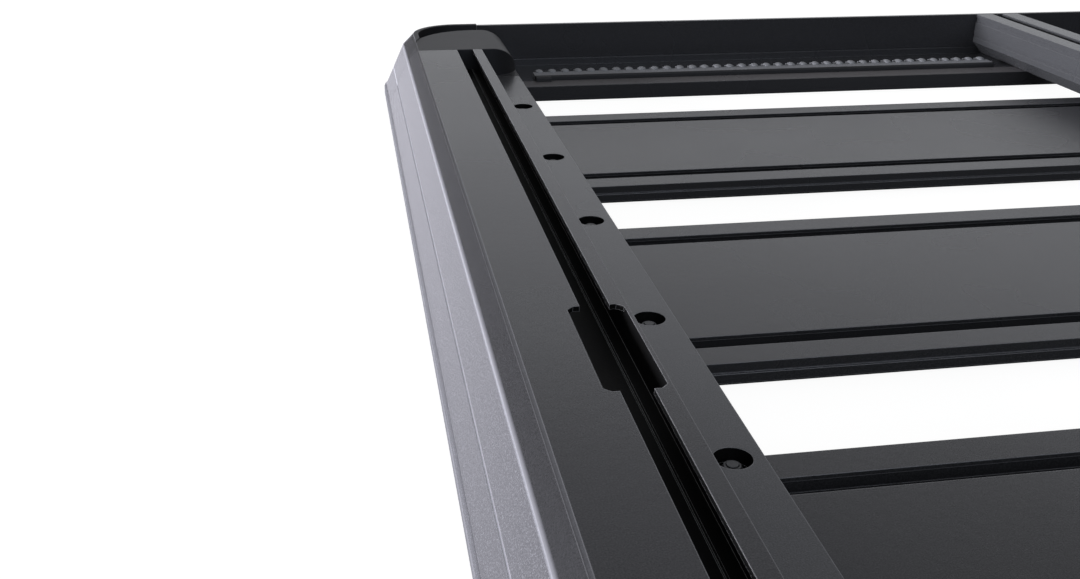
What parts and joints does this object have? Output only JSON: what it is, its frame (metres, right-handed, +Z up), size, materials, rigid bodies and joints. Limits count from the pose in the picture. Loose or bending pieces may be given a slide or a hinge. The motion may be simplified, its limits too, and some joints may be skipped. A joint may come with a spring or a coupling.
{
  "type": "flat platform roof rack",
  "caption": "Flat platform roof rack: black side rails with T-slots, low end walls, slotted planks screwed under the rails' ledges, a centre rail and moulded corner caps.",
  "frame": {"origin": "centre of the footprint, on the plane that the rails' feet stand on", "axes": "+X across the rack, +Y along the side rails, +Z up"},
  "size_m": [1.236, 1.892, 0.053],
  "materials": {
    "coated_rail": "textured black powder coat, satin",
    "moulded_cap": "fine-grained black moulded plastic",
    "grip_strip": "matt grey-black rubber"
  },
  "bodies": {
    "root": {"side_rail_left": "coated_rail", "side_rail_right": "coated_rail", "end_rail_rear": "coated_rail", "end_rail_front": "coated_rail", "centre_rail": "coated_rail", "plank_1": "coated_rail", "plank_2": "coated_rail", "plank_3": "coated_rail", "plank_4": "coated_rail", "plank_5": "coated_rail", "plank_6": "coated_rail", "corner_cap_rear_left": "moulded_cap", "corner_cap_rear_right": "moulded_cap", "corner_cap_front_left": "moulded_cap", "corner_cap_front_right": "moulded_cap", "grip_strip_rear_left": "grip_strip", "grip_strip_rear_right": "grip_strip", "grip_strip_front_left": "grip_strip", "grip_strip_front_right": "grip_strip"}
  },
  "joints": []
}
